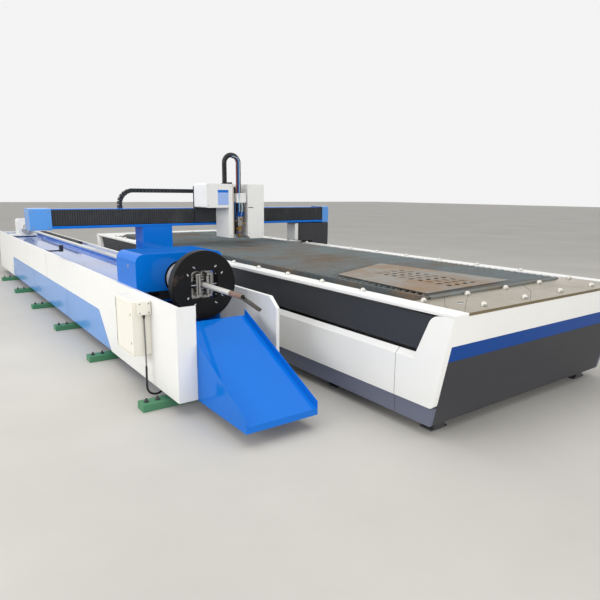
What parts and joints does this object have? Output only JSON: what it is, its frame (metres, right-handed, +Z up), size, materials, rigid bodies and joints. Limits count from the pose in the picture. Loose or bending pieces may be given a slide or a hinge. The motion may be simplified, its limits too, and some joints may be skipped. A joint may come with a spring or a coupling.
{
  "type": "fiber laser cutting machine",
  "caption": "Long slat table with a travelling gantry and laser head, beside a tube bed with a rotating chuck, feed carriage and chute, for cutting sheet and tube.",
  "frame": {"origin": "on the floor, under the middle of the whole machine's bounding box", "axes": "+X across the table from the tube bed's side to the far side, +Y along the table away from the operator's end, +Z up"},
  "size_m": [4.055, 10.02, 2.04],
  "materials": {
    "white_enamel": "satin white enamel",
    "blue_enamel": "glossy blue enamel",
    "dark_grey_enamel": "matt dark grey enamel",
    "black_cover": "matt black plastic and coated cloth",
    "bright_steel": "ground or turned steel",
    "slat_steel": "dull cut steel with spatter",
    "rusty_plate": "rusty sheet",
    "stainless_plate": "polished stainless sheet",
    "cream_enamel": "cream enamel",
    "brass": "polished",
    "black_rubber": "ribbed black hose"
  },
  "bodies": {
    "machine": {"table_frame": "dark_grey_enamel", "left_y_rail": "bright_steel", "right_y_rail": "bright_steel", "slat_bed": "slat_steel", "cut_plate": "rusty_plate", "left_side_casing": "white_enamel", "right_side_casing": "white_enamel", "left_rail_cover": "black_cover", "right_rail_cover": "black_cover", "front_lower_panel": "dark_grey_enamel", "front_stripe": "blue_enamel", "front_top_cover": "white_enamel", "rear_cover": "white_enamel", "plinth_skirt": "dark_grey_enamel", "left_rim": "white_enamel", "right_rim": "white_enamel", "front_ball_plate": "stainless_plate", "rear_deck": "white_enamel", "bed_frame": "blue_enamel", "bed_left_panel": "white_enamel", "bed_left_insert": "blue_enamel", "bed_right_panel": "white_enamel", "bed_rear_panel": "white_enamel", "bed_deck": "blue_enamel", "chute": "blue_enamel", "headstock_hood": "blue_enamel", "headstock_bearing": "dark_grey_enamel", "feed_chain": "black_cover", "electric_box": "cream_enamel", "junction_plate": "cream_enamel", "box_cable": "black_rubber"},
    "gantry": {"beam": "blue_enamel", "left_beam_cap": "blue_enamel", "right_beam_cap": "blue_enamel", "left_leg": "blue_enamel", "right_leg": "dark_grey_enamel", "right_leg_box": "white_enamel", "left_bellows": "black_cover", "right_bellows": "black_cover", "beam_chain": "black_cover"},
    "carriage": {"carriage_plate": "bright_steel", "left_cover": "white_enamel", "right_cover": "white_enamel", "lift_motor": "black_cover", "hose_arch": "black_rubber"},
    "head": {"lift_slide": "bright_steel", "cutting_head": "bright_steel", "nozzle": "brass"},
    "chuck": {"chuck_disc": "black_cover", "chuck_drum": "bright_steel"},
    "left_jaw": {"jaw_left": "bright_steel"},
    "right_jaw": {"jaw_right": "bright_steel"},
    "bottom_jaw": {"jaw_bottom": "bright_steel"},
    "top_jaw": {"jaw_top": "bright_steel"},
    "feed": {"feed_carriage": "white_enamel"},
    "feed_spindle": {"feed_chuck": "bright_steel", "work_tube": "bright_steel"},
    "support": {"support_shaft": "black_cover"},
    "box_door": {"electric_box_door": "cream_enamel"}
  },
  "joints": [
    {"name": "gantry_travel", "type": "slide", "parent": "machine", "child": "gantry", "axis": [0, 1, 0], "range_m": [-3.4, 1.9]},
    {"name": "head_traverse", "type": "slide", "parent": "gantry", "child": "carriage", "axis": [1, 0, 0], "range_m": [-1.59, 1.1], "deforming": ["left_bellows", "right_bellows", "beam_chain"]},
    {"name": "head_lift", "type": "slide", "parent": "carriage", "child": "head", "axis": [0, 0, 1], "range_m": [-0.1, 0.05], "deforming": ["hose_arch"]},
    {"name": "chuck_spin", "type": "hinge", "parent": "machine", "child": "chuck", "pos_m": [-1.2475, -3.17, 0.845], "axis": [0, 1, 0], "continuous": true},
    {"name": "jaw_left_slide", "type": "slide", "parent": "chuck", "child": "left_jaw", "axis": [-1, 0, 0], "range_m": [0, 0.04]},
    {"name": "jaw_right_slide", "type": "slide", "parent": "chuck", "child": "right_jaw", "axis": [1, 0, 0], "range_m": [0, 0.04]},
    {"name": "jaw_bottom_slide", "type": "slide", "parent": "chuck", "child": "bottom_jaw", "axis": [0, 0, -1], "range_m": [0, 0.04]},
    {"name": "jaw_top_slide", "type": "slide", "parent": "chuck", "child": "top_jaw", "axis": [0, 0, 1], "range_m": [0, 0.04]},
    {"name": "feed_travel", "type": "slide", "parent": "machine", "child": "feed", "axis": [0, 1, 0], "range_m": [-6.4, 0.15], "deforming": ["feed_chain"]},
    {"name": "feed_chuck_spin", "type": "hinge", "parent": "feed", "child": "feed_spindle", "pos_m": [-1.2475, 4.43, 0.845], "axis": [0, 1, 0], "continuous": true},
    {"name": "support_swing", "type": "hinge", "parent": "machine", "child": "support", "pos_m": [-1.6235, 2.5, 0.765], "axis": [0, -1, 0], "range_deg": [0, 30]},
    {"name": "box_door_hinge", "type": "hinge", "parent": "machine", "child": "box_door", "pos_m": [-1.8075, -2.76, 0.55], "axis": [0, 0, -1], "range_deg": [0, 110]}
  ],
  "couplings": [
    {"joint": "jaw_right_slide", "follows": "jaw_left_slide", "ratio": 1},
    {"joint": "jaw_top_slide", "follows": "jaw_bottom_slide", "ratio": 1},
    {"joint": "feed_chuck_spin", "follows": "chuck_spin", "ratio": 1}
  ]
}
